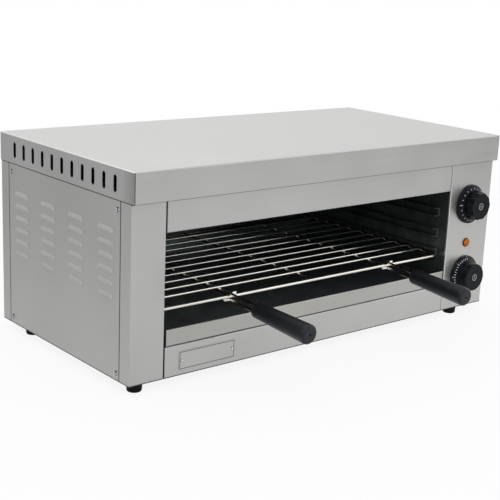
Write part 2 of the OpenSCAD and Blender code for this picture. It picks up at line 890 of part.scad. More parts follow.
module thermostat_shaft() {
    color("silver") control_shaft(thermostat_h);
}

module timer_shaft() {
    color("silver") control_shaft(timer_h);
}

// Hollow dial: coned skirt for the scale, round grip, boss for the shaft, shallow front recess
module dial_blank() {
    bore_r = shaft_d / 2 + running_clearance;
    boss_r = bore_r + 3;
    hollow_r = grip_r - 5;
    hollow_h = shaft_reach - 4;
    rim_w = 3;
    recess_z = knob_l - cap_h;
    rotate_extrude($fn = 96) polygon([
        [bore_r, 0], [boss_r, 0], [boss_r, hollow_h], [hollow_r, hollow_h],
        [hollow_r, skirt_h - 1], [skirt_r - rim_w, 1.5], [skirt_r - rim_w, 0],
        [skirt_r - 0.6, 0], [skirt_r, 0.6], [skirt_r, 2.6], [skirt_r - 0.7, 3.3],
        [grip_r + 1.6, skirt_h - 1.4], [grip_r + 0.4, skirt_h - 0.6],
        [grip_r, skirt_h + 0.6], [grip_r - 0.5, knob_l - 1.8], [grip_r - 0.9, knob_l - 0.7],
        [grip_r - 2, knob_l], [cap_r + 1.2, knob_l], [cap_r + 0.2, knob_l - 1],
        [cap_r + 0.2, recess_z], [0, recess_z], [0, shaft_reach + slide_clearance],
        [bore_r, shaft_reach + slide_clearance]]);
}

// Puts a dial that is drawn standing on its skirt onto the panel, its face to the front
module on_panel(z) {
    translate([dial_x, knob_y, z]) rotate([90, 0, 0]) children();
}

module thermostat_knob() {
    color(black) on_panel(thermostat_h) difference() {
        dial_blank();
        for (i = [0:scallop_count - 1]) rotate([0, 0, (i + 0.5) * 360 / scallop_count])
            translate([grip_r + scallop_r - scallop_deep, 0, skirt_h])
            cylinder(r = scallop_r, h = knob_h);
    }
}

module timer_knob() {
    color(black) on_panel(timer_h) dial_blank();
}

// Round insert in the middle of a dial's face, with a shallow ring groove
module dial_cap() {
    groove_z = cap_h - cap_groove;
    translate([0, 0, knob_l - cap_h]) rotate_extrude() polygon([[0, 0], [cap_r, 0],
        [cap_r, groove_z], [cap_r - cap_groove, cap_h], [cap_ring_r1 + cap_groove, cap_h],
        [cap_ring_r1, groove_z], [cap_ring_r0, groove_z], [cap_ring_r0 - cap_groove, cap_h],
        [0, cap_h]]);
}

module thermostat_cap() {
    color("gray") on_panel(thermostat_h) dial_cap();
}

module timer_cap() {
    color("gray") on_panel(timer_h) dial_cap();
}

// Two screws through the panel into each control, hidden under its dial
module control_screws() {
    color("silver") for (z = [thermostat_h, timer_h], s = [-1, 1])
        translate([dial_x + s * control_screw_x, front_y, z]) rotate([90, 0, 0])
            pan_screw(t + control_screw_l);
}

// Domed lens, standing on the bezel's floor
module lamp_lens() {
    color([0.95, 0.52, 0.08]) translate([dial_x, front_y - bezel_t, lamp_h])
        rotate([90, 0, 0]) rotate_extrude() polygon(concat([[0, 0], [lens_r, 0]],
            [for (a = [0:10:90]) [lens_r * cos(a), lens_edge + lens_rise * sin(a)]]));
}

module lamp_bezel() {
    seat_r = lens_r + hole_clearance;
    color("dimgray") translate([dial_x, front_y, lamp_h]) rotate([90, 0, 0])
        rotate_extrude() polygon([[0, 0], [bezel_r, 0], [bezel_r, bezel_t],
            [bezel_r - 0.8, 1.6], [seat_r, 1.8], [seat_r, bezel_t], [0, bezel_t]]);
}

// Lamp behind the panel: neck, round body and two tabs
module lamp_body() {
    color("whitesmoke") translate([dial_x, 0, lamp_h]) {
        bar_y(0, front_y, panel_in + 1, 0, lamp_neck_r);
        bar_y(0, panel_in, panel_in + lamp_l, 0, lamp_r);
        for (s = [-1, 1]) translate([s * lamp_tab_x, 0, 0])
            block([-tab_t / 2, panel_in + lamp_l - eps, -tab_w / 2],
                [tab_t / 2, panel_in + lamp_l + tab_l, tab_w / 2]);
    }
}

// Terminal block on the base plate, with its wells
module terminal_block() {
    color("ivory") difference() {
        soft_block([block_x - block_w / 2, block_y - block_l / 2, base_z + t],
            [block_x + block_w / 2, block_y + block_l / 2, base_z + t + block_h],
            block_round);
        for (i = [-2:2]) translate([block_x, block_y + i * well_pitch, base_z + t + well_floor])
            cylinder(r = lead_r + slide_clearance, h = block_h);
    }
}

// Lead out of well i of the terminal block: up, then forward to y_to
module lead(i, z_to, y_to) {
    z_from = base_z + t + well_floor + slide_clearance;
    y_from = block_y + i * well_pitch - lead_bend;
    translate([block_x, y_from, z_to - lead_bend]) rotate([0, -90, 0])
        bent_wire(lead_r, lead_bend, y_from - y_to, z_to - lead_bend - z_from);
}

// Leads from the terminal block to a tab of the thermostat and a tab of the timer
module internal_leads() {
    color("firebrick") {
        lead(2, thermostat_h, panel_in + thermostat_deep + tab_l);
        lead(0, timer_h, panel_in + timer_deep + tab_l);
    }
}

// Gland for the supply lead: hexagon, domed nut and a threaded neck through the back panel
module cable_gland() {
    color(black) translate([gland_x, back_y, gland_h]) rotate([-90, 0, 0]) difference() {
        union() {
            cylinder(r = gland_hex_r, h = gland_hex_h, $fn = 6);
            rotate_extrude() polygon([[0, gland_hex_h - 1], [gland_nut_r, gland_hex_h - 1],
                [gland_nut_r, gland_reach - 5], [gland_nut_r - 1, gland_reach - 2],
                [gland_nut_r - 3, gland_reach], [0, gland_reach]]);
            translate([0, 0, -gland_inside]) cylinder(r = gland_thread_r, h = gland_inside + 2);
        }
        translate([0, 0, -gland_inside - 1])
            cylinder(r = gland_bore_d / 2, h = gland_inside + gland_reach + 2);
    }
}

module gland_locknut() {
    color(black) translate([gland_x, back_y - t, gland_h]) rotate([90, 0, 0]) difference() {
        cylinder(r = gland_hex_r, h = gland_hex_h, $fn = 6);
        translate([0, 0, -1])
            cylinder(r = gland_thread_r + hole_clearance, h = gland_hex_h + 2);
    }
}

// --- crumb tray ---

// Shallow pan that slides on the return flange under the opening
module crumb_tray() {
    color(dark_steel) difference() {
        block([tray_x0, panel_in, tray_z], [tray_x1, tray_y1, tray_z + tray_wall_h]);
        block([tray_x0 + t, panel_in + t, tray_z + t],
            [tray_x1 - t, tray_y1 - t, tray_z + tray_wall_h + 1]);
    }
}

// Lip across the tray's front, folded back along its upper edge
module tray_front() {
    color(steel) along_x(tray_x0, tray_x1) translate([front_y, lip_z1]) mirror([0, 1, 0])
        angle_section(lip_fold, tray_lip_h);
}

// --- rack ---

module frame_corner(x, y, turn) {
    translate([x, y, rack_z]) rotate([0, 0, turn]) rotate_extrude(angle = 90)
        translate([frame_corner_r, 0]) circle(wire_r);
}

// Welded grid: a bent frame, cross wires inside it, and long wires across the top
module wire_rack() {
    r = frame_corner_r;
    color(wire_steel) union() {
        for (y = [rack_y0, rack_y1]) bar_x(rack_x0 + r, rack_x1 - r, y, rack_z, wire_r);
        for (x = [rack_x0, rack_x1]) bar_y(x, rack_y0 + r, rack_y1 - r, rack_z, wire_r);
        frame_corner(rack_x0 + r, rack_y0 + r, 180);
        frame_corner(rack_x1 - r, rack_y0 + r, 270);
        frame_corner(rack_x1 - r, rack_y1 - r, 0);
        frame_corner(rack_x0 + r, rack_y1 - r, 90);
        for (x = cross_wire_xs)
            bar_y(open_mid + x, rack_y0, rack_y1, cross_z, cross_wire_d / 2);
        for (i = [0:long_wire_count - 1])
            bar_x(rack_x0 - long_wire_end, rack_x1 + long_wire_end,
                rack_y0 + first_wire_gap + i * long_pitch, long_z, long_wire_d / 2);
    }
}

// Places a handle that is drawn with the front wire's axis at the origin
module at_handle(s) {
    translate([open_mid + s * handle_x, rack_y0, rack_z])
        rotate([handle_droop, 0, -s * handle_lean]) children();
}

// One rod: out of the grip, to the front wire, and turned along it to side s
module hooked_rod(z, s) {
    bar_y(0, -grip_start - rod_seat, -rod_bend_r, z, rod_d / 2);
    mirror([s < 0 ? 1 : 0, 0, 0]) {
        translate([rod_bend_r, -rod_bend_r, z]) rotate([0, 0, 90]) rotate_extrude(angle = 90)
            translate([rod_bend_r, 0]) circle(rod_d / 2);
        bar_x(rod_bend_r, rod_bend_r + rod_hook_l, 0, z, rod_d / 2);
    }
}

// Rod pair: one hooks over the front wire, the other under it
module handle_rods(s) {
    color(wire_steel) at_handle(s) {
        hooked_rod(rod_z, 1);
        hooked_rod(-rod_z, -1);
    }
}

module left_handle_rods() {
    handle_rods(-1);
}

module right_handle_rods() {
    handle_rods(1);
}

// Tapered grip with rounded ends, two rod holes and a dimple in its outer face
module grip(s) {
    r1 = grip_d1 / 2;
    r2 = grip_d2 / 2;
    g = grip_round;
    color(black) at_handle(s) rotate([90, 0, 0]) difference() {
        rotate_extrude() polygon(concat([[0, grip_start]],
            [for (a = [-90:15:0]) [r1 - g + g * cos(a), grip_start + g + g * sin(a)]],
            [for (a = [0:15:90]) [r2 - g + g * cos(a), grip_end - g + g * sin(a)]],
            [[0, grip_end]]));
        for (z = [-rod_z, rod_z]) translate([0, z, grip_start - 1])
            cylinder(r = rod_d / 2 + hole_clearance, h = rod_seat + 1);
        translate([0, 0, grip_end - dimple_deep]) cylinder(r = dimple_r, h = dimple_deep + 1);
    }
}

module left_grip() {
    grip(-1);
}

module right_grip() {
    grip(1);
}

// --- feet and fastenings ---

// Rubber foot with a pocket for its screw
module foot(i, j) {
    color(black) translate([foot_xs[i], foot_ys[j], 0]) difference() {
        rotate_extrude() polygon(concat([[0, 0]],
            [for (a = [-90:15:0]) [foot_d / 2 - foot_taper + foot_round * (cos(a) - 1),
                foot_round * (1 + sin(a))]],
            [[foot_d / 2, foot_h], [0, foot_h]]));
        translate([0, 0, -1]) cylinder(r = foot_pocket_r, h = foot_h - foot_floor + 1);
        cylinder(r = screw_r + hole_clearance, h = foot_h + 1);
    }
}

module front_left_foot() {
    foot(0, 0);
}

module front_right_foot() {
    foot(1, 0);
}

module rear_left_foot() {
    foot(0, 1);
}

module rear_right_foot() {
    foot(1, 1);
}

module foot_screws() {
    color("silver") for (x = foot_xs, y = foot_ys) translate([x, y, foot_h - foot_floor])
        rotate([180, 0, 0]) pan_screw(foot_floor + t + screw_bite);
}

module panel_screws() {
    color("silver") for (s = [-1, 1], y = screw_ys, z = screw_zs)
        translate([s * side_x, y, z]) rotate([0, s * 90, 0]) pan_screw(2 * t + screw_bite);
}

// Screws of the back panel, and those that hold the cover to it
module back_screws() {
    color("silver") {
        for (s = [-1, 1], z = screw_zs) translate([s * (back_panel_x0 + screw_edge), back_y, z])
            rotate([-90, 0, 0]) pan_screw(2 * t + screw_bite);
        for (x = back_screw_xs) translate([x, cover_y1, cover_screw_z])
            rotate([-90, 0, 0]) pan_screw(2 * t + screw_bite);
    }
}

module nameplate() {
    color([0.78, 0.78, 0.77]) difference() {
        along_y(front_y - plate_t, front_y) round_rect([plate_x0, plate_z - plate_h / 2],
            [plate_x0 + plate_w, plate_z + plate_h / 2], plate_round);
        for (x = rivet_xs) bar_y(x, front_y - plate_t - 1, front_y + 1, plate_z,
            rivet_r + hole_clearance);
    }
}

module nameplate_rivets() {
    color("silver") for (x = rivet_xs) translate([x, front_y - plate_t, plate_z])
        rotate([90, 0, 0]) rotate_extrude() polygon([[0, -rivet_tail], [rivet_r, -rivet_tail],
            [rivet_r, 0], [rivet_head_r, 0], [rivet_head_r - 0.3, rivet_head_h - 0.8],
            [rivet_head_r - 1.2, rivet_head_h - 0.2], [0, rivet_head_h]]);
}

cover();
left_column();
control_panel();
top_front_panel();
bottom_front_panel();
left_side_panel();
right_side_panel();
left_rear_post();
right_rear_post();
back_panel();
base_plate();
chamber_left_wall();
chamber_right_wall();
chamber_back_wall();
chamber_ceiling();
chamber_floor();
left_runners();
right_runners();
front_element();
middle_element();
rear_element();
element_hangers();
element_bushes();
element_terminals();
thermostat_body();
thermostat_shaft();
thermostat_knob();
thermostat_cap();
sensor_bulb();
sensor_clips();
timer_body();
timer_shaft();
timer_knob();
timer_cap();
control_screws();
lamp_lens();
lamp_bezel();
lamp_body();
terminal_block();
internal_leads();
cable_gland();
gland_locknut();
crumb_tray();
tray_front();
wire_rack();
left_handle_rods();
right_handle_rods();
left_grip();
right_grip();
front_left_foot();
front_right_foot();
rear_left_foot();
rear_right_foot();
foot_screws();
panel_screws();
back_screws();
nameplate();
nameplate_rivets();
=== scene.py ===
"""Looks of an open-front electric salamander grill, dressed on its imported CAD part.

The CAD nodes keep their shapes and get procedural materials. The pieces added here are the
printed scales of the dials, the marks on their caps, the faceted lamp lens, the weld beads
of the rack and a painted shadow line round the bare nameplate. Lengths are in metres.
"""

import math
from collections import namedtuple

import bmesh
import bpy
from mathutils import Matrix, Vector


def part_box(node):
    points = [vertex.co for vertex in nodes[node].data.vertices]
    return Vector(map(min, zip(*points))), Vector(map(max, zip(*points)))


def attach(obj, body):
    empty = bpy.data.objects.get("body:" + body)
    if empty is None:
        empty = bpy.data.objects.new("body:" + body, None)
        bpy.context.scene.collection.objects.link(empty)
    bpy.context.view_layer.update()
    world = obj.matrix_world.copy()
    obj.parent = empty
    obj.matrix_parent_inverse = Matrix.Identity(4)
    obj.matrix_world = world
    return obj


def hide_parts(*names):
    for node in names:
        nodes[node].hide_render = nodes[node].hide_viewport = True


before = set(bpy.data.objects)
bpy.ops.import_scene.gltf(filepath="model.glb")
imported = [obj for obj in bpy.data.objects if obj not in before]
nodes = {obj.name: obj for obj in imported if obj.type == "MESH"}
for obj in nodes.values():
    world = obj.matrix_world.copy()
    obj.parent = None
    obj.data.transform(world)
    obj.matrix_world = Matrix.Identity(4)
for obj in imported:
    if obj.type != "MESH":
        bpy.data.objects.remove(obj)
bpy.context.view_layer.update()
MM = 0.001


# --- node trees ---

# A plane across one axis: what lies within reach of it is near, and the rest fades out
Plane = namedtuple("Plane", "axis place reach fade")

# The sockets of a Mix node that hold colours
MIX_COLOURS = (6, 7)
MIX_RESULT = 2


class Graph:
    """Builds the node tree of a material or a world."""

    def __init__(self, owner):
        owner.use_nodes = True
        self.tree = owner.node_tree

    def feed(self, socket, value):
        """Links an output to the input socket, or sets the socket's constant."""
        if isinstance(value, bpy.types.NodeSocket):
            self.tree.links.new(value, socket)
        else:
            socket.default_value = value

    def add(self, kind, *inputs, **settings):
        """Adds a node. The inputs feed its first sockets in order. A setting feeds the socket
        with its name, or where there is none sets the node's property."""
        node = self.tree.nodes.new(kind)
        for name, value in settings.items():
            socket = name.replace("_", " ").title()
            if socket in node.inputs:
                self.feed(node.inputs[socket], value)
            else:
                setattr(node, name, value)
        for socket, value in zip(node.inputs, inputs):
            self.feed(socket, value)
        return node

    def combine(self, operation, *values):
        return self.add("ShaderNodeMath", *values, operation=operation).outputs[0]


class Surface(Graph):
    """A material with one Principled shader and textures in object coordinates."""

    def __init__(self, name, constants):
        self.material = bpy.data.materials.new(name)
        super().__init__(self.material)
        self.shader = self.tree.nodes["Principled BSDF"]
        for socket, value in constants.items():
            self.shader.inputs[socket].default_value = value
        self.place = self.add("ShaderNodeTexCoord").outputs["Object"]

    def join(self, output, socket):
        self.tree.links.new(output, self.shader.inputs[socket])

    def scaled(self, per_metre):
        """Object coordinates, scaled by one number or by a list of one for each axis."""
        scale = per_metre if isinstance(per_metre, list) else [per_metre] * 3
        return self.add("ShaderNodeMapping", self.place, scale=scale).outputs[0]

    def noise(self, per_metre, detail=2, roughness=0.5):
        """Noise from 0 to 1 with this many features per metre."""
        noise = self.add("ShaderNodeTexNoise", self.scaled(per_metre),
                         scale=1, detail=detail, roughness=roughness)
        return noise.outputs["Fac"]

    def cells(self, per_metre):
        """Distance to the nearest point of a cell pattern."""
        return self.add("ShaderNodeTexVoronoi", self.scaled(per_metre),
                        scale=1).outputs["Distance"]

    def spread(self, value, low, high, start=0.3, stop=0.7):
        """Maps a texture's range start..stop to low..high."""
        return self.add("ShaderNodeMapRange", value, start, stop, low, high).outputs["Result"]

    def sum(self, first, second):
        return self.combine("ADD", first, second)

    def mixed(self, factor, first, second):
        """Colour from first to second as factor goes from 0 to 1; each a colour or an output."""
        node = self.add("ShaderNodeMix", factor, data_type="RGBA")
        for index, colour in zip(MIX_COLOURS, (first, second)):
            if not isinstance(colour, bpy.types.NodeSocket):
                colour = (*colour, 1)
            self.feed(node.inputs[index], colour)
        return node.outputs[MIX_RESULT]

    def nearness(self, plane):
        """1 within reach of a plane, falling to 0 over its fade."""
        along = self.add("ShaderNodeSeparateXYZ", self.place).outputs[plane.axis]
        away = self.combine("ABSOLUTE", self.combine("SUBTRACT", along, plane.place))
        return self.spread(away, 1, 0, plane.reach, plane.reach + plane.fade)

    def painted(self, base, spots, colour):
        """The base colour, with another colour at some spots. A spot is a list of planes, and
        lies where all of them are near."""
        for planes in spots:
            mask = self.nearness(planes[0])
            for plane in planes[1:]:
                mask = self.combine("MULTIPLY", mask, self.nearness(plane))
            base = self.mixed(mask, base, colour)
        return base

    def bump(self, height, depth, strength):
        """Raises the surface by up to depth metres where height is 1."""
        node = self.add("ShaderNodeBump", height=height, strength=strength, distance=depth)
        self.join(node.outputs[0], "Normal")


# --- materials ---

STEEL = (0.54, 0.54, 0.532)
SIDE_STEEL = (0.532, 0.534, 0.522)
LIP_STEEL = (0.465, 0.46, 0.438)
BRACKET_STEEL = (0.27, 0.27, 0.266)
SHEET_METALLIC = 0.92
HEATED_METALLIC = 0.75
# Painted shade towards corners, as a factor on the sheet's colour
DARKER_CORNER = 0.72
# Painted highlight along bends, as a factor on the sheet's colour
BEND_HIGHLIGHT = 1.5

# Painted shade, put in seams, in recesses and under overhangs
PAINTED_SHADE = (0.09, 0.09, 0.088)
# Painted brownish shade, on wires lying under others and on the handle rods
WIRE_SHADE = (0.20, 0.17, 0.145)
BARE = (0.30, 0.285, 0.25)
CHROME = (0.86, 0.84, 0.78)
ZINC = (0.50, 0.51, 0.52)
COPPER = (0.62, 0.33, 0.22)

# Darkest and lightest colour of the heated sheets
CHAMBER_DARK = ((0.065, 0.075, 0.075), (0.15, 0.18, 0.175))
BACK_DARK = ((0.16, 0.19, 0.185), (0.32, 0.40, 0.38))
BASE_DARK = ((0.10, 0.10, 0.10), (0.16, 0.16, 0.155))
TRAY_DARK = ((0.08, 0.088, 0.097), (0.16, 0.178, 0.195))

# Features per metre along and across the brushing
FINE_GRAIN = (6, 1500)
COARSE_GRAIN = (0.8, 190)


def times(colour, factor):
    return [channel * factor for channel in colour]


def brushed_steel(name, colour, grain_axis, streak=0.05, roughness=0.34,
                  shade_spots=(), shaded_corners=(), wear_and_highlights=()):
    """Brushed sheet: fine and coarse grain along one axis and soft handling marks, with painted
    shade in seams and under overhangs, painted shade towards corners and painted highlights on
    bends."""
    surface = Surface(name, {"Metallic": SHEET_METALLIC})

    def brushed(along, across):
        return [along if axis == grain_axis else across for axis in "XYZ"]

    fine = surface.noise(brushed(*FINE_GRAIN), detail=3)
    coarse = surface.noise(brushed(*COARSE_GRAIN))
    marks = surface.noise(7, detail=3)
    grain = surface.sum(surface.spread(fine, -streak, streak),
                        surface.spread(coarse, -streak / 3, streak / 3))
    tone = surface.sum(surface.spread(marks, 0.40, 0.60), grain)
    sheet = surface.mixed(tone, times(colour, 0.82), times(colour, 1.18))
    # painted darker shade towards corners
    sheet = surface.painted(sheet, shaded_corners, times(colour, DARKER_CORNER))
    # painted highlights along bends
    sheet = surface.painted(sheet, wear_and_highlights, times(colour, BEND_HIGHLIGHT))
    # painted shade in seams, in recesses and under overhangs
    sheet = surface.painted(sheet, shade_spots, PAINTED_SHADE)
    surface.join(sheet, "Base Color")
    surface.join(surface.sum(surface.spread(marks, roughness - 0.03, roughness + 0.04), grain),
                 "Roughness")
    surface.bump(fine, depth=0.02 * MM, strength=0.5)
    return surface.material


def plated(name, colour, roughness=0.14, shade_stretches=()):
    """Plated or drawn wire: bright, a little uneven, with dull patches and painted brown shade.
    """
    surface = Surface(name, {"Metallic": 1})
    uneven = surface.noise(90, detail=3)
    dull = surface.noise(25)
    plating = surface.mixed(surface.spread(dull, 0, 1), times(colour, 0.86), colour)
    # painted brown shade on the stretches given
    surface.join(surface.painted(plating, shade_stretches, WIRE_SHADE), "Base Color")
    surface.join(surface.spread(dull, roughness * 1.5, roughness * 0.8), "Roughness")
    surface.bump(uneven, depth=0.05 * MM, strength=0.35)
    return surface.material


def screw_zinc(name, recess_shade=()):
    """Zinc plate on screw heads, with a painted highlight on the crown and painted shade round
    the edge and in the recess. The crown is where the surface faces along X or Y."""
    painted_rim_shade, painted_crown_highlight = (0.035, 0.035, 0.037), (0.93, 0.94, 0.95)
    surface = Surface(name, {"Metallic": 1})
    wear = surface.noise(900)
    normal = surface.add("ShaderNodeTexCoord").outputs["Normal"]
    along_x, along_y, _ = surface.add("ShaderNodeSeparateXYZ", normal).outputs
    facing = surface.combine("MAXIMUM", surface.combine("ABSOLUTE", along_x),
                             surface.combine("ABSOLUTE", along_y))
    crown = surface.sum(surface.spread(facing, 0, 1, start=0.74, stop=0.92),
                        surface.spread(wear, -0.1, 0.1))
    # painted highlight on the crown and painted shade round the edge, then painted shade in the
    # recesses
    plating = surface.mixed(crown, painted_rim_shade, painted_crown_highlight)
    surface.join(surface.painted(plating, recess_shade, PAINTED_SHADE), "Base Color")
    surface.join(surface.spread(wear, 0.20, 0.30), "Roughness")
    surface.bump(wear, depth=0.02 * MM, strength=0.4)
    return surface.material


def heated_steel(name, dark, light, roughness, rubbed=()):
    """Sheet darkened by heat and grease, with a faint cool tint where it still shines, and
    bare where it is rubbed."""
    surface = Surface(name, {"Metallic": HEATED_METALLIC})
    stain = surface.noise(14, detail=5, roughness=0.65)
    grain = surface.noise([6, 900, 900])
    sheet = surface.mixed(surface.spread(stain, 0, 1, start=0.35), dark, light)
    surface.join(surface.painted(sheet, rubbed, BARE), "Base Color")
    surface.join(surface.sum(surface.spread(stain, roughness + 0.10, roughness - 0.05),
                             surface.spread(grain, -0.03, 0.03)), "Roughness")
    surface.bump(stain, depth=0.15 * MM, strength=0.3)
    return surface.material


def moulded(name, colour, roughness, texture=0.7 * MM, depth=0.03 * MM, shine=0.5):
    """Moulded plastic, phenolic or rubber: fine skin texture and slightly rubbed patches."""
    surface = Surface(name, {"Specular IOR Level": shine})
    skin = surface.noise(1 / texture)
    rubbed = surface.noise(40, detail=4, roughness=0.6)
    surface.join(surface.mixed(surface.spread(rubbed, 0, 1), times(colour, 0.82),
                               times(colour, 1.25)), "Base Color")
    surface.join(surface.spread(rubbed, roughness + 0.05, roughness - 0.05), "Roughness")
    surface.bump(skin, depth, strength=0.6)
    return surface.material


def element_tube(name):
    """Element sheath: oxidised brown-grey, with blue-grey temper colours in bands and soot."""
    brown_grey, blue_grey, black = (0.075, 0.062, 0.055), (0.115, 0.118, 0.125), (0.03,) * 3
    surface = Surface(name, {"Metallic": 0.8})
    bands = surface.noise(12)
    soot = surface.noise(120, detail=4)
    tempered = surface.mixed(surface.spread(bands, 0, 1), brown_grey, blue_grey)
    surface.join(surface.mixed(surface.spread(soot, 0, 0.6), tempered, black), "Base Color")
    surface.join(surface.spread(soot, 0.42, 0.6), "Roughness")
    surface.bump(soot, depth=0.06 * MM, strength=0.5)
    return surface.material


def glazed_ceramic(name):
    """Glazed ceramic: warm white in two shades, with brown specks."""
    deep, pale, brown = (0.62, 0.58, 0.50), (0.72, 0.69, 0.61), (0.25, 0.2, 0.15)
    surface = Surface(name, {"Roughness": 0.3, "Coat Weight": 0.4, "Coat Roughness": 0.1})
    specks = surface.noise(700)
    shade = surface.noise(60)
    body = surface.mixed(surface.spread(shade, 0, 1), deep, pale)
    surface.join(surface.mixed(surface.spread(specks, 0, 0.5, start=0.66, stop=0.75),
                               body, brown), "Base Color")
    surface.bump(shade, depth=0.05 * MM, strength=0.4)
    return surface.material


def amber_lens(name):
    """Amber lens with painted light: bright amber as a painted highlight in the middle of each
    cell of a pattern, and deep amber as painted shade between them.
    """
    bright, deep = (0.90, 0.30, 0.012), (0.26, 0.045, 0.002)
    surface = Surface(name, {"Roughness": 0.14, "IOR": 1.49, "Specular IOR Level": 0.25,
                             "Emission Strength": 0.08, "Emission Color": (1, 0.20, 0, 1)})
    facet = surface.cells(330)
    # painted highlight in the cells and painted shade between them
    surface.join(surface.mixed(surface.spread(facet, 0, 1, start=0.15, stop=0.65),
                               bright, deep), "Base Color")
    surface.bump(facet, depth=0.2 * MM, strength=0.4)
    return surface.material


def print_ink(name, colour):
    """Printed scale: matt ink, worn a little thin in patches."""
    surface = Surface(name, {"Roughness": 0.55})
    wear_and_highlights = surface.noise(500, detail=3)
    surface.join(surface.mixed(surface.spread(wear_and_highlights, 0, 1, start=0.5, stop=0.75), colour,
                               times(colour, 0.6)), "Base Color")
    surface.bump(wear_and_highlights, depth=0.01 * MM, strength=0.5)
    return surface.material


# --- spots on the materials: painted shade in seams, recesses and under overhangs, towards corners and on wires, painted highlights on bends, and bare rubbed ends ---

CROSSING_FADE = 0.5 * MM
SEAM_INSET = 0.9 * MM
SCREW_HEAD_R = 3.8 * MM
cover_low, cover_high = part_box("cover")
column_low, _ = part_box("left_column")
screws_low, screws_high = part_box("panel_screws")


def stretch(axis, start, stop, fade):
    """Plane that is near to all from start to stop."""
    return Plane(axis, (start + stop) / 2, (stop - start) / 2, fade)


def crossings(first_axis, first_places, second_axis, second_places, reach):
    """A spot on each line where one of the first planes crosses one of the second."""
    return [[Plane(first_axis, first, reach, CROSSING_FADE),
             Plane(second_axis, second, reach, CROSSING_FADE)]
            for first in first_places for second in second_places]


def upright_seams(node, axis):
    """A spot of painted shade along each of a panel's two upright edges."""
    return [[Plane(axis, getattr(corner, axis.lower()), reach=0.7 * MM, fade=1.0 * MM)]
            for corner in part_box(node)]


def lower_wires():
    """Painted shade on the wires under the long ones, from behind the front to past the back
    wire.
    """
    low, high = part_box("wire_rack")
    return [Plane("Z", low.z, reach=4.6 * MM, fade=1.0 * MM),
            stretch("Y", low.y + 8 * MM, high.y + 6 * MM, fade=1.0 * MM)]


def rods_before_hooks():
    """Painted shade on the handle rods in front of their hooks."""
    low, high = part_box("left_handle_rods")
    return [stretch("Y", low.y, high.y - 20 * MM, fade=6 * MM)]


# Painted shade just under the cover's skirt, on the front faces under its front edge, and along
# the bottom edge
SKIRT_SHADOW = [Plane("Z", cover_low.z, reach=1.4 * MM, fade=1.0 * MM)]
FRONT_SKIRT_SHADOW = [Plane("Z", cover_low.z, reach=2.6 * MM, fade=1.2 * MM),
                    Plane("Y", column_low.y, reach=0.6 * MM, fade=0.5 * MM)]
FOOT_EDGE_SHADE = [Plane("Z", column_low.z, reach=1.2 * MM, fade=0.8 * MM)]
# Painted darker shade on the cover's left side towards its front corner
SHADED_CORNER = [Plane("Y", cover_low.y, reach=4 * MM, fade=26 * MM),
                 Plane("X", cover_low.x, reach=0.8 * MM, fade=1 * MM)]
RUNNER_ENDS = [Plane("Y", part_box("right_runners")[0].y, reach=1.2 * MM, fade=1.0 * MM)]
# Painted highlights along the cover's two top side bends
COVER_BEND_HIGHLIGHTS = crossings("X", (cover_low.x, cover_high.x), "Z", [cover_high.z], 1.2 * MM)
# Painted shade in the cover's upright corner seams
CORNER_SEAM_SHADE = crossings("X", (cover_low.x + SEAM_INSET, cover_high.x - SEAM_INSET),
                         "Y", (cover_low.y, cover_high.y), 0.3 * MM)
# Painted highlight along the control panel's front bend
PANEL_BEND_HIGHLIGHT = crossings("X", [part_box("control_panel")[0].x], "Y", [column_low.y], 0.7 * MM)
# Painted shade in the recesses of the panel screws
SCREW_RECESS_SHADE = crossings("Y", (screws_low.y + SCREW_HEAD_R, screws_high.y - SCREW_HEAD_R),
                           "Z", (screws_low.z + SCREW_HEAD_R, screws_high.z - SCREW_HEAD_R),
                           0.9 * MM)


# --- which node gets which material ---

def dress(material, *names):
    """Gives the CAD nodes with these names one material."""
    for name in names:
        nodes[name].data.materials.clear()
        nodes[name].data.materials.append(material)


dress(brushed_steel("cover_brushed", STEEL, "X", shade_spots=CORNER_SEAM_SHADE,
                    shaded_corners=[SHADED_CORNER], wear_and_highlights=COVER_BEND_HIGHLIGHTS), "cover")
dress(brushed_steel("front_brushed", STEEL, "X",
                    shade_spots=[FRONT_SKIRT_SHADOW, FOOT_EDGE_SHADE,
                              *upright_seams("top_front_panel", "X")]),
      "top_front_panel", "bottom_front_panel")
dress(brushed_steel("tray_lip_brushed", LIP_STEEL, "X", streak=0.08), "tray_front")
dress(brushed_steel("column_brushed", STEEL, "Z", streak=0.035,
                    shade_spots=[SKIRT_SHADOW, FRONT_SKIRT_SHADOW, FOOT_EDGE_SHADE], wear_and_highlights=PANEL_BEND_HIGHLIGHT),
      "left_column", "control_panel")
dress(brushed_steel("side_brushed", SIDE_STEEL, "Y",
                    shade_spots=[SKIRT_SHADOW, FOOT_EDGE_SHADE, *upright_seams("left_side_panel", "Y")]),
      "left_side_panel", "right_side_panel")
dress(brushed_steel("post_brushed", SIDE_STEEL, "Z", shade_spots=[SKIRT_SHADOW, FOOT_EDGE_SHADE]),
      "left_rear_post", "right_rear_post")
dress(brushed_steel("back_brushed", SIDE_STEEL, "X", roughness=0.4), "back_panel")
dress(brushed_steel("plate_satin", STEEL, "X", streak=0.04, roughness=0.38), "nameplate")
dress(brushed_steel("bracket_steel", BRACKET_STEEL, "Y", roughness=0.45),
      "element_hangers", "element_bushes", "sensor_clips")

dress(heated_steel("chamber_dark", *CHAMBER_DARK, roughness=0.30),
      "chamber_left_wall", "chamber_right_wall", "chamber_ceiling", "chamber_floor")
dress(heated_steel("runner_dark", *CHAMBER_DARK, roughness=0.30, rubbed=[RUNNER_ENDS]),
      "left_runners", "right_runners")
dress(heated_steel("back_wall_dark", *BACK_DARK, roughness=0.22), "chamber_back_wall")
dress(heated_steel("base_dark", *BASE_DARK, roughness=0.5), "base_plate")
dress(heated_steel("tray_dark", *TRAY_DARK, roughness=0.42), "crumb_tray")
dress(element_tube("element_oxide"), "front_element", "middle_element", "rear_element")

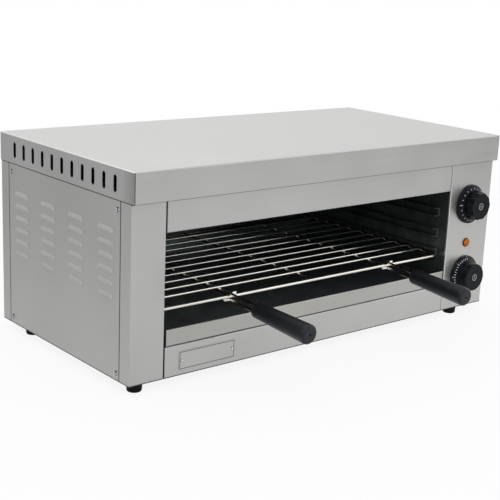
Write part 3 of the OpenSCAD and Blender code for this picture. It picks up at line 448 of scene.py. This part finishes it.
dress(plated("rack_chrome", CHROME, shade_stretches=[lower_wires()]), "wire_rack")
dress(plated("rod_chrome", CHROME, shade_stretches=[rods_before_hooks()]),
      "left_handle_rods", "right_handle_rods")
dress(plated("shaft_zinc", ZINC, roughness=0.3), "thermostat_shaft", "timer_shaft", "foot_screws")
dress(plated("copper", COPPER, roughness=0.3), "sensor_bulb")
dress(screw_zinc("panel_shaded_screw_zinc", SCREW_RECESS_SHADE), "panel_screws")
dress(screw_zinc("screw_zinc"), "control_screws", "back_screws", "nameplate_rivets")

dress(moulded("dial_black", (0.004, 0.005, 0.008), 0.26, shine=0.13),
      "thermostat_knob", "timer_knob")
dress(moulded("cap_black", (0.008, 0.009, 0.011), 0.40, shine=0.25),
      "thermostat_cap", "timer_cap")
dress(moulded("grip_bakelite", (0.008, 0.0095, 0.013), 0.36, texture=1.2 * MM, depth=0.05 * MM,
              shine=0.30), "left_grip", "right_grip")
dress(moulded("foot_rubber", (0.004, 0.004, 0.005), 0.62, texture=1.0 * MM, depth=0.08 * MM,
              shine=0.12),
      "front_left_foot", "front_right_foot", "rear_left_foot", "rear_right_foot")
dress(moulded("unit_plastic", (0.02, 0.024, 0.028), 0.45), "thermostat_body", "timer_body")
dress(moulded("gland_nylon", (0.012, 0.012, 0.013), 0.48), "cable_gland", "gland_locknut")
dress(moulded("bezel_dark", (0.022, 0.012, 0.007), 0.28, shine=0.3), "lamp_bezel")
dress(moulded("lamp_nylon", (0.62, 0.61, 0.58), 0.5), "lamp_body")
dress(moulded("lead_silicone", (0.30, 0.02, 0.015), 0.5), "internal_leads")
dress(glazed_ceramic("ceramic"), "element_terminals", "terminal_block")
dress(amber_lens("lamp_amber"), "lamp_lens")


# --- added pieces ---

def new_piece(name, shape, material, body):
    """Makes an object of a bmesh and puts it on its body."""
    mesh = bpy.data.meshes.new(name)
    bmesh.ops.recalc_face_normals(shape, faces=shape.faces)
    shape.to_mesh(mesh)
    shape.free()
    piece = bpy.data.objects.new(name, mesh)
    bpy.context.scene.collection.objects.link(piece)
    piece.data.materials.append(material)
    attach(piece, body)
    return piece


def smooth(piece, limit_deg):
    """Shades the piece smooth and keeps the edges sharper than the limit."""
    for polygon in piece.data.polygons:
        polygon.use_smooth = True
    piece.data.set_sharp_from_angle(angle=math.radians(limit_deg))


def turns(count, shift=0):
    """Evenly spaced angles round a circle, shifted by a share of their step."""
    return [2 * math.pi * (i + shift) / count for i in range(count)]


def skin_ring(shape, loops):
    """Joins each loop of vertices to the next with faces, and the last to the first."""
    count = len(loops[0])
    for first, second in zip(loops, loops[1:] + loops[:1]):
        for i in range(count):
            j = (i + 1) % count
            shape.faces.new((first[i], first[j], second[j], second[i]))


# The coned skirt of a dial: its top edge, its rim, and how the ink sits on it
CONE_TOP_R, CONE_TOP_H = 27.6 * MM, 7.6 * MM
CONE_RIM_INSET, CONE_RIM_H = 0.7 * MM, 3.3 * MM
INK_SUNK, INK_PROUD = -0.12 * MM, 0.06 * MM
DOT_SEGMENTS = 20


class Scale:
    """Printed marks on a dial's coned skirt, drawn flat and wrapped round the dial's axis."""

    def __init__(self, dial):
        low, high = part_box(f"{dial}_knob")
        self.dial = dial
        self.centre = Vector(((low.x + high.x) / 2, high.y, (low.z + high.z) / 2))
        rim_r = (high.x - low.x) / 2 - CONE_RIM_INSET
        self.run = rim_r - CONE_TOP_R
        self.rise = CONE_TOP_H - CONE_RIM_H
        self.slant = math.hypot(self.run, self.rise)
        self.shape = bmesh.new()

    def place(self, angle, radius, lift):
        """Point over the cone at a clockwise angle from the top."""
        height = CONE_RIM_H + self.rise * (self.run + CONE_TOP_R - radius) / self.run
        radius += lift * self.rise / self.slant
        height += lift * self.run / self.slant
        return self.centre + Vector((radius * math.sin(angle), -height,
                                     radius * math.cos(angle)))

    def wrap(self, flat, turn_deg, radius):
        """Wraps a flat bmesh, X clockwise and Y outward, round the dial as a thin block."""
        copied = bmesh.ops.extrude_face_region(flat, geom=flat.faces[:])["geom"]
        proud = {vertex for vertex in copied if isinstance(vertex, bmesh.types.BMVert)}
        for vertex in flat.verts:
            outward = radius + vertex.co.y * self.run / self.slant
            angle = math.radians(turn_deg) + vertex.co.x / radius
            lift = INK_PROUD if vertex in proud else INK_SUNK
            vertex.co = self.place(angle, outward, lift)
        mesh = bpy.data.meshes.new("wrapped_mark")
        flat.to_mesh(mesh)
        flat.free()
        self.shape.from_mesh(mesh)
        bpy.data.meshes.remove(mesh)

    def dot(self, turn_deg, radius, size):
        flat = bmesh.new()
        bmesh.ops.create_circle(flat, cap_ends=True, segments=DOT_SEGMENTS,
                                radius=size / 2)
        self.wrap(flat, turn_deg, radius)

    def line(self, turn_deg, radius, width, length):
        flat = bmesh.new()
        bmesh.ops.create_grid(flat, x_segments=2, y_segments=2, size=0.5,
                              matrix=Matrix.Diagonal((width, length, 1, 1)))
        self.wrap(flat, turn_deg, radius)

    def number(self, turn_deg, radius, text, size):
        curve = bpy.data.curves.new("number", "FONT")
        curve.body = text
        curve.size = size
        curve.align_x = "CENTER"
        curve.align_y = "CENTER"
        writing = bpy.data.objects.new("number", curve)
        mesh = bpy.data.meshes.new_from_object(writing)
        flat = bmesh.new()
        flat.from_mesh(mesh)
        bmesh.ops.remove_doubles(flat, verts=flat.verts, dist=0.001 * MM)
        bpy.data.objects.remove(writing)
        bpy.data.curves.remove(curve)
        bpy.data.meshes.remove(mesh)
        self.wrap(flat, turn_deg, radius)

    def finish(self, material):
        new_piece(f"{self.dial}_scale", self.shape, material, f"{self.dial}_dial")


# Thermostat: a line at the off place and a ring of dots. Angles are in degrees
OFF_TURN = 272.6
OFF_LINE_R, OFF_LINE_W, OFF_LINE_L = 30.6 * MM, 1.4 * MM, 5.6 * MM
DOTS_EACH_WAY = 9
DOT_TURN = 18.4
DOT_R, DOT_SIZE = 29.8 * MM, 2.1 * MM

thermostat = Scale("thermostat")
thermostat.line(OFF_TURN, OFF_LINE_R, OFF_LINE_W, OFF_LINE_L)
for step in range(1, DOTS_EACH_WAY + 1):
    for way in (-1, 1):
        thermostat.dot(OFF_TURN + way * step * DOT_TURN, DOT_R, DOT_SIZE)
thermostat.finish(print_ink("scale_ink", (0.46, 0.47, 0.50)))

# Timer: a tick for each minute, a longer one with its number every five minutes. A tick's
# size is its width and length
MINUTES = 30
MINUTE_TURN = 9.2
ZERO_TURN = 1
NUMBERED_EVERY = 5
TICK_IN_R = 29.5 * MM
TICK, NUMBERED_TICK = (1.2 * MM, 2.6 * MM), (1.3 * MM, 3.0 * MM)
NUMBER_R, NUMBER_SIZE = 33.9 * MM, 3.2 * MM

timer = Scale("timer")
for minute in range(MINUTES + 1):
    turn = ZERO_TURN - minute * MINUTE_TURN
    numbered = minute % NUMBERED_EVERY == 0
    width, length = NUMBERED_TICK if numbered else TICK
    timer.line(turn, TICK_IN_R + length / 2, width, length)
    if numbered:
        timer.number(turn, NUMBER_R, str(minute), NUMBER_SIZE)
timer.finish(print_ink("number_ink", (0.74, 0.75, 0.78)))

# Grey ring in the groove of each dial's cap, with a bar across it
RING_IN, RING_OUT = 4.75 * MM, 6.25 * MM
RING_TOP, RING_FOOT = 0.15 * MM, 0.6 * MM
RING_SEGMENTS = 48
BAR_L, BAR_W, BAR_H = 6.4 * MM, 1.6 * MM, 0.24 * MM


def cap_mark(dial, bar_turn_deg, ink):
    """Adds the ring and bar to a dial's cap. The bar is turned clockwise from level."""
    low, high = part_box(f"{dial}_cap")
    centre = (low + high) / 2
    mark = bmesh.new()
    loops = [[mark.verts.new((centre.x + radius * math.cos(turn), low.y + depth,
                              centre.z + radius * math.sin(turn)))
              for turn in turns(RING_SEGMENTS)]
             for radius, depth in ((RING_IN, RING_FOOT), (RING_IN, RING_TOP),
                                   (RING_OUT, RING_TOP), (RING_OUT, RING_FOOT))]
    skin_ring(mark, loops)
    bmesh.ops.create_cube(mark, size=1, matrix=(
        Matrix.Translation((centre.x, low.y, centre.z))
        @ Matrix.Rotation(math.radians(bar_turn_deg), 4, "Y")
        @ Matrix.Diagonal((BAR_L, BAR_H, BAR_W, 1))))
    smooth(new_piece(f"{dial}_cap_mark", mark, ink, f"{dial}_dial"), limit_deg=35)


cap_ink = print_ink("cap_ink", (0.32, 0.325, 0.34))
cap_mark("thermostat", bar_turn_deg=12, ink=cap_ink)
cap_mark("timer", bar_turn_deg=62, ink=cap_ink)

# Weld beads where the rack's long wires cross the wires under them, and where the handle
# rods hook round its front wire. A bead's size is its half sizes
FRAME_WIRE_R = 2.8 * MM
LONG_WIRES = 10
FIRST_LONG_WIRE = 38 * MM
LOWER_WIRES_X = (-168.5 * MM, 0, 168.5 * MM)
BEAD = (3.1 * MM, 3.6 * MM, 1.9 * MM)
BEAD_SEGMENTS, BEAD_RINGS = 14, 8
BEAD_FORWARD, BEAD_SUNK = 0.8 * MM, 0.4 * MM
HOOK_BEAD = (3.6 * MM, 2.9 * MM, 2.6 * MM)
HOOK_WELD_X, HOOK_WELD_Z = 10 * MM, 2.9 * MM


def add_bead(shape, place, size):
    bmesh.ops.create_uvsphere(shape, u_segments=BEAD_SEGMENTS, v_segments=BEAD_RINGS, radius=1,
                              matrix=Matrix.Translation(place) @ Matrix.Diagonal((*size, 1)))


def rack_welds():
    low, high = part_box("wire_rack")
    first_y = low.y + FRAME_WIRE_R + FIRST_LONG_WIRE
    last_y = high.y - FRAME_WIRE_R
    bead_z = low.z + 2 * FRAME_WIRE_R - BEAD_SUNK
    beads = bmesh.new()
    for i in range(LONG_WIRES):
        wire_y = first_y + (last_y - first_y) * i / LONG_WIRES
        for wire_x in LOWER_WIRES_X:
            add_bead(beads, ((low.x + high.x) / 2 + wire_x, wire_y - BEAD_FORWARD, bead_z), BEAD)
    for side in ("left", "right"):
        rods_low, rods_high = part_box(f"{side}_handle_rods")
        hook = Vector(((rods_low.x + rods_high.x) / 2, low.y + FRAME_WIRE_R,
                       low.z + FRAME_WIRE_R))
        for way in (-1, 1):
            add_bead(beads, hook + way * Vector((HOOK_WELD_X, 0, HOOK_WELD_Z)), HOOK_BEAD)
    chrome = nodes["wire_rack"].data.materials[0]
    smooth(new_piece("rack_welds", beads, chrome, "rack"), limit_deg=60)


rack_welds()

# Thin dark line of painted shadow round the edge of the bare nameplate
LINE_INSET, LINE_W, LINE_H = 1.2 * MM, 0.9 * MM, 0.1 * MM


def nameplate_border():
    low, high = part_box("nameplate")
    outer, inner = LINE_INSET, LINE_INSET + LINE_W
    top, foot = low.y - LINE_H, low.y + LINE_H
    border = bmesh.new()
    loops = [[border.verts.new((x, y, z)) for x, z in (
                 (low.x + inset, low.z + inset), (high.x - inset, low.z + inset),
                 (high.x - inset, high.z - inset), (low.x + inset, high.z - inset))]
             for inset, y in ((outer, top), (inner, top), (inner, foot), (outer, foot))]
    skin_ring(border, loops)
    # The line is painted shadow, made with the print ink material
    ink = print_ink("border_painted_shadow", (0.03, 0.03, 0.032))
    new_piece("nameplate_border", border, ink, "cabinet")


nameplate_border()

# Faceted lamp lens in place of the smooth one. Its profile is given in shares of the smooth
# lens's radius and length, and every second ring is turned by half a facet
LENS_SIDES = 12
LENS_PROFILE = ((1.0, 0.0), (1.0, 0.2), (0.9, 0.52), (0.66, 0.8), (0.34, 0.96))


def lamp_facets():
    low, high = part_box("lamp_lens")
    centre = Vector(((low.x + high.x) / 2, high.y, (low.z + high.z) / 2))
    lens_r = (high.x - low.x) / 2
    lens_l = high.y - low.y
    lens = bmesh.new()
    rings = []
    for index, (radius, out) in enumerate(LENS_PROFILE):
        rings.append([lens.verts.new(centre + Vector((lens_r * radius * math.cos(turn),
                                                      -lens_l * out,
                                                      lens_r * radius * math.sin(turn))))
                      for turn in turns(LENS_SIDES, shift=0.5 * (index % 2))])
    for index, (below, above) in enumerate(zip(rings, rings[1:])):
        for i in range(LENS_SIDES):
            j = (i + 1) % LENS_SIDES
            k = (i + index % 2) % LENS_SIDES
            lens.faces.new((below[i], below[j], above[k]))
            lens.faces.new((below[j], above[(k + 1) % LENS_SIDES], above[k]))
    tip = lens.verts.new(centre + Vector((0, -lens_l, 0)))
    for i in range(LENS_SIDES):
        lens.faces.new((rings[-1][i], rings[-1][(i + 1) % LENS_SIDES], tip))
    lens.faces.new(rings[0])
    amber = nodes["lamp_lens"].data.materials[0]
    facets = new_piece("lamp_facets", lens, amber, "cabinet")
    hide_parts("lamp_lens")


lamp_facets()


# --- stage, light and camera ---

class Stage(Graph):
    """Node tree of the floor or the world, which differs by the kind of ray."""

    def __init__(self, owner):
        super().__init__(owner)
        self.tree.nodes.clear()
        self.rays = self.add("ShaderNodeLightPath").outputs

    def measure(self, operation, *vectors):
        """A vector's length, or the distance or dot product of two vectors."""
        return self.add("ShaderNodeVectorMath", *vectors, operation=operation).outputs["Value"]

    def share(self, ray, amount):
        """The amount for rays of one kind, and 0 for others."""
        return self.combine("MULTIPLY", self.rays[ray], amount)

    def ramp(self, value, start, stop, low, high):
        """Goes smoothly from low to high as the value goes from start to stop."""
        return self.add("ShaderNodeMapRange", value, start, stop, low, high,
                        interpolation_type="SMOOTHSTEP").outputs["Result"]

    def glow(self, kind, colour, strength=1):
        return self.add(kind, colour, strength).outputs[0]

    def mix(self, factor, first, second):
        return self.add("ShaderNodeMixShader", factor, first, second).outputs[0]

    def finish(self, shader, kind):
        output = self.tree.nodes.new(kind)
        self.tree.links.new(shader, output.inputs["Surface"])


# Paper floor: it takes the shadow and is near white to the camera. In the steel's reflections
# it's brightest to the front right of the part and gets darker away from there. It fades out
# towards its edge
WHITE = (1, 1, 1, 1)
PAPER = (0.9, 0.9, 0.9, 1)
FLOOR_R = 2.6
FLOOR_SEGMENTS = 96
FADE_START, FADE_STOP = 0.9, FLOOR_R - 0.1
PAPER_WHITE = 0.88
SHINE_WHITE = 0.85
LIT_MIDDLE = (0.6, -0.7, 0)
LIT_START, LIT_STOP = 0.2, 2.3
FLOOR_NEAR, FLOOR_FAR = 0.89, 0.51

floor_shape = bmesh.new()
bmesh.ops.create_circle(floor_shape, cap_ends=True, segments=FLOOR_SEGMENTS,
                        radius=FLOOR_R)
floor_mesh = bpy.data.meshes.new("floor")
floor_shape.to_mesh(floor_mesh)
floor_shape.free()
floor = bpy.data.objects.new("floor", floor_mesh)
bpy.context.scene.collection.objects.link(floor)

paper = bpy.data.materials.new("floor_paper")
floor.data.materials.append(paper)
stage = Stage(paper)
place = stage.add("ShaderNodeTexCoord").outputs["Object"]
shine = stage.ramp(stage.measure("DISTANCE", place, LIT_MIDDLE), LIT_START, LIT_STOP,
                   FLOOR_NEAR, FLOOR_FAR)
fade = stage.ramp(stage.measure("LENGTH", place), FADE_START, FADE_STOP, 0, 1)
shadowed = stage.add("ShaderNodeBsdfDiffuse", PAPER).outputs[0]
clear = stage.add("ShaderNodeBsdfTransparent", WHITE).outputs[0]
seen = stage.mix(stage.share("Is Camera Ray", PAPER_WHITE), shadowed,
                 stage.glow("ShaderNodeEmission", WHITE))
seen = stage.mix(stage.share("Is Glossy Ray", SHINE_WHITE), seen,
                 stage.glow("ShaderNodeEmission", shine))
stage.finish(stage.mix(fade, seen, clear), "ShaderNodeOutputMaterial")

# A soft grey dome lights the part. Camera and transmission rays see white. Glossy rays see a
# pale sky over the horizon, dimmer to the left, in front and overhead, so that the steel
# stays grey from all sides. A ramp is its start and stop, and the brightness at each
DOME = 0.62
DOME_COLOUR = (0.98, 0.99, 1.0, 1)
TO_RIGHT = (1, 0, 0.5)
OVER_HORIZON = (-0.10, 0.04, 0, 1)
FROM_LEFT = (-0.1, 0.5, 0.42, 1)
FROM_FRONT = (-0.55, -0.25, 0.60, 1)
TO_OVERHEAD = (0.55, 0.88, 1, 0.30)

world = bpy.data.worlds.new("studio")
bpy.context.scene.world = world
stage = Stage(world)
outlook = stage.add("ShaderNodeTexCoord").outputs["Generated"]
_, depth, height = stage.add("ShaderNodeSeparateXYZ", outlook).outputs
sky = stage.ramp(height, *OVER_HORIZON)
for direction, brightness in ((stage.measure("DOT_PRODUCT", outlook, TO_RIGHT), FROM_LEFT),
                              (depth, FROM_FRONT), (height, TO_OVERHEAD)):
    sky = stage.combine("MULTIPLY", sky, stage.ramp(direction, *brightness))
backdrop = stage.glow("ShaderNodeBackground", WHITE)
mirrored = stage.glow("ShaderNodeBackground", stage.ramp(sky, 0, 1, FLOOR_FAR, 1))
seen = stage.mix(stage.rays["Is Camera Ray"],
                 stage.glow("ShaderNodeBackground", DOME_COLOUR, DOME), backdrop)
seen = stage.mix(stage.rays["Is Transmission Ray"], seen, backdrop)
stage.finish(stage.mix(stage.rays["Is Glossy Ray"], seen, mirrored), "ShaderNodeOutputWorld")

# Square softboxes, turned to the part: place, size and power of each
PART_MIDDLE = Vector((0, 0.05, 0.17))
SOFTBOXES = {
    "key": ((-1.6, -2.1, 2.5), 3.6, 37),
    "fill": ((2.3, -1.7, 1.6), 2.8, 12),
    "top": ((0.1, 1.2, 2.8), 3.0, 25),
}

for name, (place, size, power) in SOFTBOXES.items():
    light = bpy.data.lights.new(name, "AREA")
    light.size = size
    light.energy = power
    lamp = bpy.data.objects.new(name, light)
    bpy.context.scene.collection.objects.link(lamp)
    lamp.location = place
    lamp.rotation_euler = (PART_MIDDLE - Vector(place)).to_track_quat("-Z", "Y").to_euler()

# The camera comes from a fit to the photograph's straight edges
IMAGE_PX = 500
FOCAL_PX = 1112.134
CENTRE_PX = 274.914
SENSOR = 36
CAMERA_PLACE = (-1.24512, -1.40093, 0.63285)
AZIMUTH, ELEVATION, ROLL = (math.radians(a) for a in (-41.0651, 14.7063, 2.735))

camera = bpy.data.objects.new("camera", bpy.data.cameras.new("camera"))
bpy.context.scene.collection.objects.link(camera)
bpy.context.scene.camera = camera
camera.data.sensor_width = SENSOR
camera.data.lens = FOCAL_PX / IMAGE_PX * SENSOR
camera.data.shift_x = (IMAGE_PX / 2 - CENTRE_PX) / IMAGE_PX
back = Vector((math.sin(AZIMUTH) * math.cos(ELEVATION),
               -math.cos(AZIMUTH) * math.cos(ELEVATION), math.sin(ELEVATION)))
level = Vector((0, 0, 1)).cross(back).normalized()
upright = back.cross(level)
right = level * math.cos(ROLL) + upright * math.sin(ROLL)
up = upright * math.cos(ROLL) - level * math.sin(ROLL)
camera.matrix_world = (Matrix.Translation(CAMERA_PLACE)
                       @ Matrix((right, up, back)).transposed().to_4x4())

bpy.context.scene.view_settings.view_transform = "Standard"
